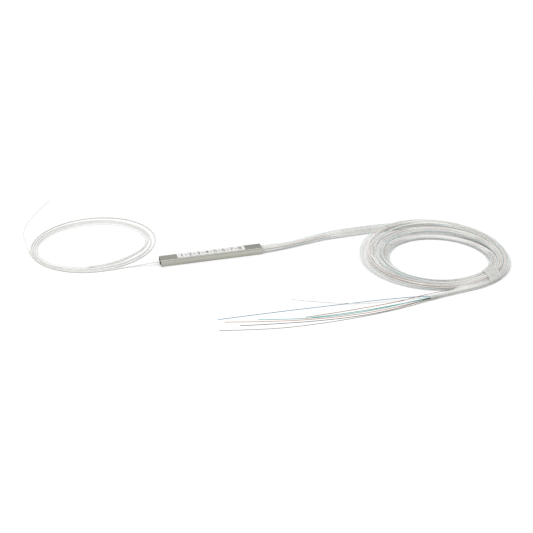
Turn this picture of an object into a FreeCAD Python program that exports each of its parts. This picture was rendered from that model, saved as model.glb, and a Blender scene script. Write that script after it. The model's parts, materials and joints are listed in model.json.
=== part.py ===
"""Planar lightwave circuit fibre splitter, one input and eight outputs, in a steel tube housing.

Frame: origin at the centre of the housing's underside, +X along the housing from input to
outputs, +Z up, millimetres. The fibre cords are coiled beside both ends on the same surface.
"""
import FreeCAD, Part, Sketcher

import math
import os

V = FreeCAD.Vector
ROUND_OFF = 1e-4
doc = FreeCAD.newDocument("fibre_splitter")

SIZES = {
    # housing
    "housing_length": 60.0,
    "housing_width": 7.0,
    "housing_height": 4.0,
    "wall": 0.35,
    "corner_radius": 0.7,
    # plugs and the bores that the tubes are potted in
    "plug_recess": 1.2,
    "plug_length": 4.2,
    "plug_clearance": 0.02,
    "tube_seat": 3.0,
    "bore_clearance": 0.03,
    "fibre_hole": 0.4,
    "output_count": 8,
    "bore_pitch": 0.7,
    "row_rise": 1.1,
    # cords
    "tube_diameter": 0.9,
    "fibre_diameter": 0.25,
    "glass_diameter": 0.125,
    # light path: chip, blocks and their lids
    "chip_length": 12.0,
    "chip_width": 2.4,
    "chip_thickness": 1.05,
    "lid_thickness": 0.95,
    "facet_angle": 8.0,
    "facet_gap": 0.01,
    "block_width": 2.8,
    "input_block_length": 7.5,
    "output_block_length": 9.0,
    "input_lid_length": 4.5,
    "output_lid_length": 5.0,
    "fibre_pitch": 0.25,
    "ledge_gap": 0.03,
    "glue_rise": 0.35,
    "ribbon_edge": 0.03,
    "ribbon_reach": 3.0,
    # silicone bed
    "bed_width": 4.6,
    "bed_margin": 1.0,
    # label
    "label_length": 40.0,
    "label_width": 5.4,
    "label_thickness": 0.1,
    "label_corner": 0.9,
    # input coil: its eye, how far its turns reach past the eye on each side, and the
    # straight shoulders where its cord comes in and goes out
    "input_eye_x": -63.5,
    "input_eye_y": 36.5,
    "input_eye_half_length": 32.8,
    "input_eye_half_width": 26.8,
    "input_turns_left": 4.4,
    "input_turns_right": 5.2,
    "input_turns_front": 8.5,
    "input_turns_back": 13.1,
    "input_coil_height": 1.9,
    "input_shoulder_x": -50.0,
    "input_shoulder_width": 3.2,
    "input_exit_y": 43.5,
    "input_exit_width": 4.0,
    # output coil: its round eye, how far its turns reach past the eye on each side, its
    # taped stretch and the shoulder that the leads come in by
    "output_coil_x": 126.0,
    "output_coil_y": -38.8,
    "output_eye_radius": 28.4,
    "output_turns_left": 14.7,
    "output_turns_right": 10.1,
    "output_turns_front": 7.8,
    "output_turns_back": 23.8,
    "output_coil_height": 4.2,
    "coil_round": 1.4,
    "taped_radius": 40.2,
    "taped_crest_radius": 36.0,
    "taped_edge_height": 2.15,
    "taped_from": -67.0,
    "taped_to": -33.0,
    "output_shoulder_x": 98.0,
    "output_shoulder_y": 9.0,
    "output_shoulder_width": 9.2,
    "output_shoulder_height": 2.25,
    # tape
    "tape_x": 143.9,
    "tape_width": 9.0,
    "tape_thickness": 0.15,
    "tape_gap": 0.05,
}

sheet = doc.addObject("Spreadsheet::Sheet", "Sizes")
for row, (alias, number) in enumerate(SIZES.items(), start=1):
    sheet.set(f"A{row}", alias)
    sheet.set(f"B{row}", str(number))
    sheet.setAlias(f"B{row}", alias)
doc.recompute()

# Places that several pieces share, as expressions of the sheet's cells.
MID = "Sizes.housing_height / 2"
CHIP_HALF = "Sizes.chip_length / 2"
LEAN = "tan(Sizes.facet_angle * 1deg)"
BED_TOP = f"({MID} - Sizes.chip_thickness)"
PLUG_FACE = "(Sizes.housing_length / 2 - Sizes.plug_recess)"
SEAT = f"({PLUG_FACE} - Sizes.tube_seat)"
RIBBON_START = f"({CHIP_HALF} + Sizes.output_lid_length)"
RIBBON_END = f"({CHIP_HALF} + Sizes.output_block_length + Sizes.ribbon_reach)"
RIBBON_THICKNESS = "(Sizes.fibre_diameter + 2 * Sizes.ribbon_edge)"
FIBRE_DROP = "(Sizes.fibre_diameter / 2 + Sizes.ledge_gap)"
RIBBON_DROP = f"({RIBBON_THICKNESS} / 2 + Sizes.ledge_gap)"
RIBBON_WIDTH = "(Sizes.output_count * Sizes.fibre_pitch + 2 * Sizes.ribbon_edge)"

kept = []


def size(alias):
    """A driving dimension, read from the sheet."""
    return float(sheet.get(alias))


def keep(item, label):
    """Name a finished sub-part; its label is its file's name."""
    item.Label = label
    kept.append(item)
    return item


def bind(item, **expressions):
    """Bind properties to expressions; a double underscore stands for a dot."""
    for name, expression in expressions.items():
        item.setExpression(name.replace("__", "."), expression)
    return item


def box(name, length, width, height, x, y, z):
    """A box from expressions: its sizes, and its low corner."""
    item = doc.addObject("Part::Box", name)
    return bind(item, Length=length, Width=width, Height=height, Placement__Base__x=x,
                Placement__Base__y=y, Placement__Base__z=z)


def rod(name, diameter, length, x, y, z):
    """A round rod along +X from expressions: its low end is at x, y, z."""
    item = doc.addObject("Part::Cylinder", name)
    item.Placement = FreeCAD.Placement(V(0, 0, 0), FreeCAD.Rotation(V(0, 1, 0), 90))
    return bind(item, Radius=f"({diameter}) / 2", Height=length, Placement__Base__x=x,
                Placement__Base__y=y, Placement__Base__z=z)


def slab(name, low_start, low_end, high_start, high_end, bottom, top, width):
    """A slab with slanted ends: where it starts and ends along X, at its bottom and its top."""
    item = doc.addObject("Part::Wedge", name)
    item.Placement = FreeCAD.Placement(V(0, 0, 0), FreeCAD.Rotation(V(1, 0, 0), 90))
    return bind(item, Xmin=low_start, Xmax=low_end, X2min=high_start, X2max=high_end,
                Ymin=bottom, Ymax=top, Zmin=f"-{width} / 2", Zmax=f"{width} / 2",
                Z2min=f"-{width} / 2", Z2max=f"{width} / 2")


def cut(name, base, tool):
    item = doc.addObject("Part::Cut", name)
    item.Base = base
    item.Tool = tool
    return item


def fuse(name, shapes):
    item = doc.addObject("Part::MultiFuse", name)
    item.Shapes = shapes
    return item


def edges_along(shape, direction):
    """Numbers of the straight edges that run along a direction."""
    found = []
    for number, edge in enumerate(shape.Edges, start=1):
        if edge.Curve.TypeId != "Part::GeomLine":
            continue
        if abs(edge.tangentAt(edge.FirstParameter).dot(direction)) > 0.999:
            found.append(number)
    return found


def rounded(name, base, radius, direction):
    """A copy of base with its edges along a direction rounded."""
    doc.recompute()
    item = doc.addObject("Part::Fillet", name)
    item.Base = base
    item.Edges = [(number, radius, radius) for number in edges_along(base.Shape, direction)]
    return item


def bore_offset(index):
    """Across and up from the plug's middle to one output bore: two staggered rows."""
    across = (index - (size("output_count") - 1) / 2) * size("bore_pitch")
    up = (0.5 if index % 2 else -0.5) * size("row_rise")
    return across, up


def origin_plane(body, role):
    return next(item for item in body.Origin.OriginFeatures if item.Role == role)


def centred_rectangle(body, name, width, height):
    """A sketch across the housing: a rectangle centred on the housing's mid height."""
    sketch = body.newObject("Sketcher::SketchObject", name)
    sketch.AttachmentSupport = [(origin_plane(body, "YZ_Plane"), "")]
    sketch.MapMode = "FlatFace"
    sketch.setExpression("AttachmentOffset.Base.y", MID)
    corners = [V(-2, -1, 0), V(2, -1, 0), V(2, 1, 0), V(-2, 1, 0)]
    for start, end in zip(corners, corners[1:] + corners[:1]):
        sketch.addGeometry(Part.LineSegment(start, end), False)
    for line in range(4):
        sketch.addConstraint(Sketcher.Constraint("Coincident", line, 2, (line + 1) % 4, 1))
    for line, kind in enumerate(("Horizontal", "Vertical", "Horizontal", "Vertical")):
        sketch.addConstraint(Sketcher.Constraint(kind, line))
    sketch.addConstraint(Sketcher.Constraint("Symmetric", 0, 1, 2, 1, -1, 1))
    wide = sketch.addConstraint(
        Sketcher.Constraint("DistanceX", 0, 1, 0, 2, corners[1].x - corners[0].x))
    high = sketch.addConstraint(
        Sketcher.Constraint("DistanceY", 1, 1, 1, 2, corners[2].y - corners[1].y))
    sketch.setExpression(f"Constraints[{wide}]", width)
    sketch.setExpression(f"Constraints[{high}]", height)
    return sketch


def fillet_long_edges(body, name, base, radius, inner):
    """Round the body's long edges: the channel's own where inner is set, else the outer ones."""
    doc.recompute()
    limit = size("housing_width") / 2 - size("wall") / 2
    names = []
    for number in edges_along(base.Shape, V(1, 0, 0)):
        across = abs(base.Shape.Edges[number - 1].CenterOfMass.y)
        if (across < limit) == inner:
            names.append(f"Edge{number}")
    fillet = body.newObject("PartDesign::Fillet", name)
    fillet.Base = (base, names)
    fillet.setExpression("Radius", radius)
    return fillet


def make_housing():
    """The steel tube: a padded section, hollowed through, its long edges rounded both sides."""
    body = doc.addObject("PartDesign::Body", "HousingBody")
    outside = centred_rectangle(body, "HousingOutside", "Sizes.housing_width",
                                "Sizes.housing_height")
    pad = body.newObject("PartDesign::Pad", "HousingPad")
    pad.Profile = outside
    pad.SideType = "Symmetric"
    pad.setExpression("Length", "Sizes.housing_length")
    rim = fillet_long_edges(body, "HousingRim", pad, "Sizes.corner_radius", False)
    inside = centred_rectangle(body, "HousingInside", "Sizes.housing_width - 2 * Sizes.wall",
                               "Sizes.housing_height - 2 * Sizes.wall")
    hollow = body.newObject("PartDesign::Pocket", "HousingHollow")
    hollow.Profile = inside
    hollow.SideType = "Symmetric"
    hollow.setExpression("Length", "Sizes.housing_length + 2 * Sizes.wall")
    doc.recompute()
    channel = fillet_long_edges(body, "HousingChannel", hollow,
                                "Sizes.corner_radius - Sizes.wall", True)
    body.Tip = channel
    assert rim.Shape.Volume > hollow.Shape.Volume
    keep(body, "steel_housing")


def make_plug(name, side, bores):
    """A plug in the housing's mouth, with a stepped bore for each (across, up) in bores."""
    width = "(Sizes.housing_width - 2 * Sizes.wall - 2 * Sizes.plug_clearance)"
    height = "(Sizes.housing_height - 2 * Sizes.wall - 2 * Sizes.plug_clearance)"
    inner_face = f"({PLUG_FACE} - Sizes.plug_length)"
    low_end = inner_face if side > 0 else f"-{PLUG_FACE}"
    seat_end = SEAT if side > 0 else f"-{PLUG_FACE}"
    block = box(f"{name}Block", "Sizes.plug_length", width, height, low_end,
                f"-{width} / 2", "Sizes.wall + Sizes.plug_clearance")
    block = rounded(f"{name}Rounded", block, size("corner_radius") - size("wall"), V(1, 0, 0))
    holes = []
    for index, (across, up) in enumerate(bores, start=1):
        holes.append(rod(f"{name}Bore{index}", "Sizes.tube_diameter + 2 * Sizes.bore_clearance",
                         "Sizes.tube_seat", seat_end, f"{across}", f"{MID} + {up}"))
        holes.append(rod(f"{name}FibreHole{index}", "Sizes.fibre_hole", "Sizes.plug_length",
                         low_end, f"{across}", f"{MID} + {up}"))
    keep(cut(f"{name}Bored", block, fuse(f"{name}Holes", holes)), name)


def make_chip():
    """The chip and its lid: both ends lean by the facet angle, and the split plane is at MID."""
    lean_down = f"Sizes.chip_thickness * {LEAN}"
    lean_up = f"Sizes.lid_thickness * {LEAN}"
    base = slab("ChipBase", f"-{CHIP_HALF} - {lean_down}", f"{CHIP_HALF} - {lean_down}",
                f"-{CHIP_HALF}", CHIP_HALF, BED_TOP, MID, "Sizes.chip_width")
    lid = slab("ChipLid", f"-{CHIP_HALF}", CHIP_HALF, f"-{CHIP_HALF} + {lean_up}",
               f"{CHIP_HALF} + {lean_up}", MID, f"{MID} + Sizes.lid_thickness",
               "Sizes.chip_width")
    keep(base, "chip_base")
    keep(lid, "chip_lid")


def make_block(name, side, count, block_length, lid_length, drop):
    """A V-groove block that holds count glass fibres against a chip end, and its lid.

    The lid rests on the glass, so it starts half a glass diameter above the split plane, and
    the ledge behind it is lower by drop, to clear the coated fibre or ribbon.
    """
    glass = "Sizes.glass_diameter / 2"
    lean_down = f"Sizes.chip_thickness * {LEAN}"
    lean_low = f"{glass} * {LEAN}"
    lean_high = f"({glass} + Sizes.lid_thickness) * {LEAN}"
    far = f"({CHIP_HALF} + {block_length})"
    lid_end = f"({CHIP_HALF} + {lid_length})"
    lid_low = f"{MID} + {glass}"
    lid_high = f"{MID} + {glass} + Sizes.lid_thickness"
    if side > 0:
        base = slab(f"{name}Slab", f"{CHIP_HALF} - {lean_down}", far, CHIP_HALF, far,
                    BED_TOP, MID, "Sizes.block_width")
        lid = slab(f"{name}Lid", f"{CHIP_HALF} + {lean_low}", lid_end,
                   f"{CHIP_HALF} + {lean_high}", lid_end, lid_low, lid_high,
                   "Sizes.block_width")
        ledge_start = lid_end
        groove_start = CHIP_HALF
    else:
        base = slab(f"{name}Slab", f"-{far}", f"-{CHIP_HALF} - {lean_down}", f"-{far}",
                    f"-{CHIP_HALF}", BED_TOP, MID, "Sizes.block_width")
        lid = slab(f"{name}Lid", f"-{lid_end}", f"-{CHIP_HALF} + {lean_low}", f"-{lid_end}",
                   f"-{CHIP_HALF} + {lean_high}", lid_low, lid_high, "Sizes.block_width")
        ledge_start = f"-{far}"
        groove_start = f"-{far}"
    cutters = [box(f"{name}Ledge", f"{block_length} - {lid_length}", "Sizes.block_width",
                   drop, ledge_start, "-Sizes.block_width / 2", f"{MID} - {drop}")]
    for index in range(count):
        across = (index - (count - 1) / 2) * size("fibre_pitch")
        groove = box(f"{name}Groove{index + 1}", block_length, "Sizes.glass_diameter",
                     "Sizes.glass_diameter", groove_start, f"{across}",
                     f"{MID} - Sizes.glass_diameter * sqrt(2) / 2")
        groove.Placement = FreeCAD.Placement(groove.Placement.Base,
                                             FreeCAD.Rotation(V(1, 0, 0), 45))
        cutters.append(groove)
    keep(cut(f"{name}Cut", base, fuse(f"{name}Cutters", cutters)), name)
    keep(lid, f"{name}_lid")


def make_input_fibre():
    """The input fibre: bare glass in its groove, then coated up to the tube's seat."""
    glass_end = f"({CHIP_HALF} + Sizes.facet_gap)"
    glass = rod("InputGlass", "Sizes.glass_diameter", f"{SEAT} - {glass_end}", f"-{SEAT}",
                "0", MID)
    coat = rod("InputCoat", "Sizes.fibre_diameter",
               f"{SEAT} - {CHIP_HALF} - Sizes.input_lid_length", f"-{SEAT}", "0", MID)
    return keep(fuse("InputFibre", [glass, coat]), "input_fibre")


def make_ribbon():
    """The ribbon out of the output block, with its bare glass fibres in the grooves."""
    glass_start = f"({CHIP_HALF} + Sizes.facet_gap)"
    strip = box("RibbonStrip", f"{RIBBON_END} - {RIBBON_START}", RIBBON_WIDTH,
                RIBBON_THICKNESS, RIBBON_START, f"-{RIBBON_WIDTH} / 2",
                f"{MID} - {RIBBON_THICKNESS} / 2")
    strands = [strip]
    count = int(size("output_count"))
    for index in range(count):
        across = (index - (count - 1) / 2) * size("fibre_pitch")
        strands.append(rod(f"RibbonGlass{index + 1}", "Sizes.glass_diameter",
                           f"{RIBBON_END} - {glass_start}", glass_start, f"{across}", MID))
    return keep(fuse("Ribbon", strands), "fibre_ribbon")


def make_glue(name, side, block_length, lid_length, drop, fibre):
    """Soft glue on a block's ledge, round the fibre that lies there."""
    length = f"({block_length} - {lid_length})"
    start = f"({CHIP_HALF} + {lid_length})" if side > 0 else f"-({CHIP_HALF} + {block_length})"
    blob = box(f"{name}Block", length, "Sizes.block_width", f"{drop} + Sizes.glue_rise", start,
               "-Sizes.block_width / 2", f"{MID} - {drop}")
    blob = rounded(f"{name}Rounded", blob, size("glue_rise") / 2, V(1, 0, 0))
    keep(cut(f"{name}Cut", blob, fibre), name)


def make_bed():
    """The silicone bed that the chip and its blocks lie on."""
    start = f"({CHIP_HALF} + Sizes.input_block_length + Sizes.bed_margin)"
    end = f"({CHIP_HALF} + Sizes.output_block_length + Sizes.bed_margin)"
    keep(box("Bed", f"{start} + {end}", "Sizes.bed_width", f"{BED_TOP} - Sizes.wall",
             f"-{start}", "-Sizes.bed_width / 2", "Sizes.wall"), "cushion_bed")


def make_label():
    """The label on the housing's top face, its corners rounded."""
    plate = box("LabelPlate", "Sizes.label_length", "Sizes.label_width",
                "Sizes.label_thickness", "-Sizes.label_length / 2", "-Sizes.label_width / 2",
                "Sizes.housing_height")
    keep(rounded("LabelRounded", plate, size("label_corner"), V(0, 0, 1)), "label")


# ---------------------------------------------------------------- cords

RADIUS_SHARE = 0.45


def route_wire(points):
    """Straight runs joined by tangent arcs, each as large as its two runs allow."""
    edges = []
    radii = []
    start = points[0]
    for before, corner, after in zip(points, points[1:], points[2:]):
        back = (before - corner)
        ahead = (after - corner)
        setback = RADIUS_SHARE * min(back.Length, ahead.Length)
        back.normalize()
        ahead.normalize()
        half_turn = (math.pi - back.getAngle(ahead)) / 2
        radius = setback / math.tan(half_turn)
        arc_start = corner + back * setback
        arc_end = corner + ahead * setback
        inward = back + ahead
        inward.normalize()
        centre = corner + inward * (radius / math.cos(half_turn))
        middle = centre - inward * radius
        edges.append(Part.LineSegment(start, arc_start).toShape())
        edges.append(Part.Arc(arc_start, middle, arc_end).toShape())
        radii.append(radius)
        start = arc_end
    edges.append(Part.LineSegment(start, points[-1]).toShape())
    return Part.Wire(edges), radii


def make_cord(name, points, diameter):
    """A plain round cord along a route; its volume is checked against section times length."""
    wire, radii = route_wire(points)
    ring = Part.Circle(points[0], points[1] - points[0], diameter / 2)
    solid = wire.makePipeShell([Part.Wire(ring.toShape())], True, False)
    expected = math.pi * diameter ** 2 / 4 * wire.Length
    assert abs(solid.Volume / expected - 1) < 0.01, name
    print(f"{name}: length {wire.Length:.1f}, tightest radius {min(radii):.1f}")
    item = doc.addObject("Part::Feature", f"Cord_{name}")
    item.Shape = solid
    return keep(item, name)


def lead_out(points, length):
    """The next point straight ahead of a route's last run."""
    ahead = points[-1] - points[-2]
    ahead.normalize()
    return points[-1] + ahead * length


# The input lead leaves its bore straight, comes down and runs into the coil's front.
INPUT_LEAD = [(-35.0, 0.0, 2.0), (-44.4, 1.4, 0.45)]
# The bare input fibre leaves the coil's left side and curls away behind it.
INPUT_TAIL = [(-101.3, 43.5, 0.15), (-101.3, 52.0, 0.15), (-102.2, 62.0, 0.15),
              (-100.0, 73.5, 0.15), (-95.0, 87.2, 0.15), (-88.7, 100.0, 0.15),
              (-81.3, 111.7, 0.15)]
# The eight output leads go as one flat bundle. Each entry is its middle, the pitch across it,
# the height of its middle, how far its two rows stand apart and the rise across it.
OUTPUT_LEADS = [
    (34.5, 0.0, 0.70, 2.00, 1.10, 0.0),
    (46.5, 1.2, 0.53, 1.75, 1.00, 0.0),
    (59.5, 4.3, 0.62, 1.55, 0.95, 0.2),
    (72.5, 7.8, 0.86, 1.40, 0.60, 0.6),
    (86.0, 9.0, 1.10, 1.25, 0.00, 1.1),
]
# The tails leave the tape side by side in two rows of four. Each entry is their middle, the
# pitch across and the height of the lower row.
OUTPUT_TAILS = [
    (127.0, -77.7, 1.00, 0.60),
    (117.0, -79.0, 0.98, 0.50),
    (107.5, -80.6, 0.98, 0.50),
    (100.0, -82.1, 0.98, 0.50),
]
TAIL_ROW_RISE = 0.97
TAIL_FIRST_RUN = 6.5
TAIL_PITCH = 1.0
FIBRE_FIRST_RUN = 4.0
# Column (0 is nearest the coil) and row of each tail, in the order of the output leads, and
# how many of OUTPUT_TAILS it follows before its tube ends.
TAIL_COUNTS = [(0, 0, 3), (2, 0, 4), (1, 0, 4), (0, 1, 2), (3, 0, 4), (1, 1, 4), (3, 1, 4),
              (2, 1, 4)]
# Where each bare fibre lies after its straight start: blue, orange, green, brown, slate,
# white, black and aqua.
BARE_FIBRES = [
    [(97.0, -78.2, 0.30), (84.0, -76.2, 0.15), (65.0, -74.9, 0.15), (40.0, -73.7, 0.15),
     (13.0, -72.4, 0.15), (-14.0, -71.8, 0.15)],
    [(88.0, -84.3, 0.25), (75.0, -86.0, 0.15), (60.0, -87.1, 0.15), (38.0, -86.1, 0.15),
     (12.9, -82.0, 0.15), (-11.3, -75.3, 0.15)],
    [(88.5, -82.4, 0.30), (77.0, -83.2, 0.15), (62.0, -84.1, 0.15), (47.0, -84.1, 0.15),
     (33.1, -83.5, 0.15)],
    [(106.0, -78.0, 1.25), (96.5, -78.3, 0.80), (86.0, -79.6, 0.15), (70.0, -81.1, 0.15),
     (50.0, -81.9, 0.15), (30.5, -82.3, 0.15)],
    [(88.5, -86.2, 0.25), (76.0, -88.4, 0.15), (58.0, -90.2, 0.15), (34.0, -90.8, 0.15),
     (8.5, -89.2, 0.15), (-16.0, -83.0, 0.15)],
    [(89.5, -81.2, 1.20), (80.0, -79.2, 0.95), (70.0, -77.8, 0.30), (61.5, -77.1, 0.70),
     (50.0, -72.7, 0.70), (39.5, -67.1, 0.15), (29.2, -61.4, 0.15)],
    [(88.5, -85.9, 0.90), (77.0, -87.6, 0.25), (60.0, -89.0, 0.15), (40.0, -88.2, 0.15),
     (17.5, -85.3, 0.15), (-4.7, -81.2, 0.15)],
    [(88.0, -83.3, 0.90), (76.5, -84.2, 0.30), (62.0, -85.3, 0.15), (44.0, -85.3, 0.15),
     (24.5, -82.7, 0.15), (6.0, -77.7, 0.15)],
]


def make_input_cord():
    """The input tube's straight stretch, and the bare fibre past the coil."""
    tube = size("tube_diameter")
    seat = size("housing_length") / 2 - size("plug_recess") - size("tube_seat")
    middle = size("housing_height") / 2
    points = [V(-seat, 0, middle)] + [V(*point) for point in INPUT_LEAD]
    points.append(V(size("input_shoulder_x"), points[-1].y, points[-1].z))
    make_cord("input_lead", points, tube)
    make_cord("input_tail", [V(*point) for point in INPUT_TAIL], size("fibre_diameter"))


def lead_route(index):
    """One output lead, from its seat in the plug to the coil's shoulder."""
    across, up = bore_offset(index)
    seat = size("housing_length") / 2 - size("plug_recess") - size("tube_seat")
    slot = index - (size("output_count") - 1) / 2
    row = 0.5 if index % 2 else -0.5
    points = [V(seat, across, size("housing_height") / 2 + up)]
    for x, y, pitch, height, rows, rise in OUTPUT_LEADS:
        points.append(V(x, y + slot * pitch, height + row * rows + rise * slot / 7))
    points.append(V(size("output_shoulder_x"), points[-1].y, points[-1].z))
    return points


def tail_route(index):
    """One tail, from the taped stretch's end face to the end of its tube."""
    column, row, reach = TAIL_COUNTS[index]
    angle = math.radians(size("taped_from"))
    outward = V(math.cos(angle), math.sin(angle), 0)
    ahead = V(math.sin(angle), -math.cos(angle), 0)
    lift = size("tape_thickness") + size("tape_gap") + size("tube_diameter") / 2
    centre = V(size("output_coil_x"), size("output_coil_y"), lift + row * TAIL_ROW_RISE)
    side = (column - 1.5)
    middle = size("taped_radius") - 0.6 * TAIL_PITCH - 1.5 * TAIL_PITCH
    start = centre + outward * (middle + side * TAIL_PITCH)
    points = [start, start + ahead * TAIL_FIRST_RUN]
    for x, y, pitch, height in OUTPUT_TAILS[:reach]:
        points.append(V(x, y - side * pitch, height + row * TAIL_ROW_RISE))
    return points


def make_output_cords():
    """The eight leads, tails and bare fibres, and the fan-out inside the housing."""
    tube = size("tube_diameter")
    fibre = size("fibre_diameter")
    middle = size("housing_height") / 2
    ribbon_end = size("chip_length") / 2 + size("output_block_length") + size("ribbon_reach")
    for index in range(int(size("output_count"))):
        number = index + 1
        lead = lead_route(index)
        make_cord(f"output_lead_{number}", lead, tube)
        across = (index - (size("output_count") - 1) / 2) * size("fibre_pitch")
        seat = lead[0]
        quarter = (seat.x - ribbon_end) * 0.28
        make_cord(f"fanout_fibre_{number}", [
            V(ribbon_end, across, middle),
            V(ribbon_end + quarter, across, middle),
            V(seat.x - quarter, seat.y, seat.z),
            seat,
        ], fibre)
        tail = tail_route(index)
        make_cord(f"output_tail_{number}", tail, tube)
        bare = [tail[-1], lead_out(tail, FIBRE_FIRST_RUN)]
        bare += [V(*point) for point in BARE_FIBRES[index]]
        make_cord(f"bare_fibre_{number}", bare, fibre)


# ---------------------------------------------------------------- coils and tape


def elliptic_prism(low, high, bottom, height):
    """An upright prism over the ellipse that fills a plan from one corner to the other."""
    centre = V((low.x + high.x) / 2, (low.y + high.y) / 2, bottom)
    half = (high - low) / 2
    if abs(half.x - half.y) < ROUND_OFF:
        return Part.makeCylinder(half.x, height, centre)
    along = centre + V(half.x, 0, 0)
    across = centre + V(0, half.y, 0)
    if half.x > half.y:
        ellipse = Part.Ellipse(along, across, centre)
    else:
        ellipse = Part.Ellipse(across, along, centre)
    return Part.Face(Part.Wire(ellipse.toShape())).extrude(V(0, 0, height))


def turns_round(prefix, low, high):
    """The plan's corners of a coil, from those of its eye and how far its turns reach."""
    return (low - V(size(f"{prefix}_turns_left"), size(f"{prefix}_turns_front"), 0),
            high + V(size(f"{prefix}_turns_right"), size(f"{prefix}_turns_back"), 0))


def taped_face(grow):
    """The section of the taped stretch at its far end, grown by a little on every side.

    It is flat over the coil's own turns, and slopes down to the tails beside them.
    """
    inner = size("output_eye_radius") - grow
    outer = size("taped_radius") + grow
    base = size("tape_thickness") + size("tape_gap")
    top = base + size("output_coil_height") + grow
    edge = base + size("taped_edge_height") + grow
    base -= grow
    corners = [V(inner, 0, base), V(outer, 0, base), V(outer, 0, edge),
               V(size("taped_crest_radius"), 0, top), V(inner, 0, top)]
    face = Part.Face(Part.makePolygon(corners + corners[:1]))
    face.rotate(V(0, 0, 0), V(0, 0, 1), size("taped_from"))
    face.translate(V(size("output_coil_x"), size("output_coil_y"), 0))
    return face


def taped_sector(grow):
    """The taped stretch: its far end's section, turned round the coil's centre."""
    centre = V(size("output_coil_x"), size("output_coil_y"), 0)
    return taped_face(grow).revolve(centre, V(0, 0, 1), size("taped_to") - size("taped_from"))


def round_rims(solid, radius, level):
    """Round the edges that lie at one height."""
    rims = [edge for edge in solid.Edges
            if abs(edge.BoundBox.ZMin - level) < ROUND_OFF
            and abs(edge.BoundBox.ZMax - level) < ROUND_OFF]
    return solid.makeFillet(radius, rims)


def keep_shape(name, shape):
    item = doc.addObject("Part::Feature", f"Shape_{name}")
    item.Shape = shape.removeSplitter()
    return keep(item, name)


def make_input_coil():
    """The outer shape of the input coil: a low ring, with a shoulder at each end of its cord."""
    height = size("input_coil_height")
    middle = V(size("input_eye_x"), size("input_eye_y"), 0)
    reach = V(size("input_eye_half_length"), size("input_eye_half_width"), 0)
    low, high = turns_round("input", middle - reach, middle + reach)
    centre = (low + high) / 2
    step = size("tube_diameter")
    entry = Part.makeBox(size("input_shoulder_x") - centre.x, size("input_shoulder_width"),
                         step, V(centre.x, low.y, 0))
    leave = Part.makeBox(size("input_exit_width"), size("input_exit_y") - centre.y, step,
                         V(low.x - step, centre.y, 0))
    ring = round_rims(elliptic_prism(low, high, 0, height), step / 2, height)
    eye = elliptic_prism(middle - reach, middle + reach, 0, height)
    keep_shape("input_coil", ring.fuse(entry).fuse(leave).cut(eye))


def make_output_coil():
    """The outer shape of the output coil: wide and loose at its back, narrow in the tape."""
    height = size("output_coil_height")
    base = size("tape_thickness") + size("tape_gap")
    x = size("output_coil_x")
    y = size("output_coil_y")
    eye_radius = size("output_eye_radius")
    reach = V(eye_radius, eye_radius, 0)
    low, high = turns_round("output", V(x, y, 0) - reach, V(x, y, 0) + reach)
    eye = Part.makeCylinder(eye_radius, height, V(x, y, base))
    ring = round_rims(elliptic_prism(low, high, base, height).cut(eye), size("coil_round"),
                      base + height)
    taped = taped_sector(0)
    width = size("output_shoulder_width")
    entry = Part.makeBox((low.x + high.x) / 2 - size("output_shoulder_x"), width,
                         size("output_shoulder_height"),
                         V(size("output_shoulder_x"), size("output_shoulder_y") - width / 2,
                           base))
    keep_shape("output_coil", ring.fuse(taped).fuse(entry))


def make_tape():
    """The tape band: a thin sleeve round the coil's taped stretch and the tails' roots."""
    gap = size("tape_gap")
    angle = math.radians(size("taped_from"))
    ahead = V(math.sin(angle), -math.cos(angle), 0) * TAIL_FIRST_RUN
    outside, inside = (
        taped_sector(grow).fuse(taped_face(grow).extrude(ahead))
        for grow in (gap + size("tape_thickness"), gap))
    reach = size("taped_radius")
    band = Part.makeBox(size("tape_width"), reach, size("output_coil_height") * 2,
                        V(size("tape_x") - size("tape_width") / 2,
                          size("output_coil_y") - reach - size("tube_diameter"), 0))
    keep_shape("coil_tape", outside.cut(inside).common(band))


make_housing()
make_plug("input_plug", -1, [(0.0, 0.0)])
make_plug("output_plug", 1, [bore_offset(index) for index in range(int(size("output_count")))])
make_chip()
make_block("input_block", -1, 1, "Sizes.input_block_length", "Sizes.input_lid_length",
           FIBRE_DROP)
make_block("output_block", 1, int(size("output_count")), "Sizes.output_block_length",
           "Sizes.output_lid_length", RIBBON_DROP)
input_fibre = make_input_fibre()
ribbon = make_ribbon()
make_glue("input_glue", -1, "Sizes.input_block_length", "Sizes.input_lid_length",
          FIBRE_DROP, input_fibre)
make_glue("output_glue", 1, "Sizes.output_block_length", "Sizes.output_lid_length",
          RIBBON_DROP, ribbon)
make_bed()
make_label()
make_input_cord()
make_output_cords()
make_input_coil()
make_output_coil()
make_tape()

doc.recompute()
for item in doc.Objects:
    if "Invalid" in item.State or "Error" in item.State:
        raise RuntimeError(f"{item.Label} failed: {item.State}")
os.makedirs("parts", exist_ok=True)
for item in kept:
    if item.Shape.isNull() or not item.Shape.isValid():
        raise RuntimeError(f"{item.Label} has no valid shape")
    if len(item.Shape.Solids) != 1:
        raise RuntimeError(f"{item.Label} has {len(item.Shape.Solids)} solids")
for item in kept:
    item.Shape.exportStep(f"parts/{item.Label}.step")
print(f"{len(kept)} sub-parts")
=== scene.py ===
"""Fibre splitter: the looks of the steel housing, its label, the coiled tubes and bare fibres.

Everything is in metres, in the frame of the packed model: origin at the centre of the
housing's underside, +X towards the outputs, +Z up.
"""
import functools
import itertools
import json
import math

import bpy
import numpy as np
from bpy.props import FloatProperty, FloatVectorProperty, IntProperty, PointerProperty
from mathutils import Matrix, Vector


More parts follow.
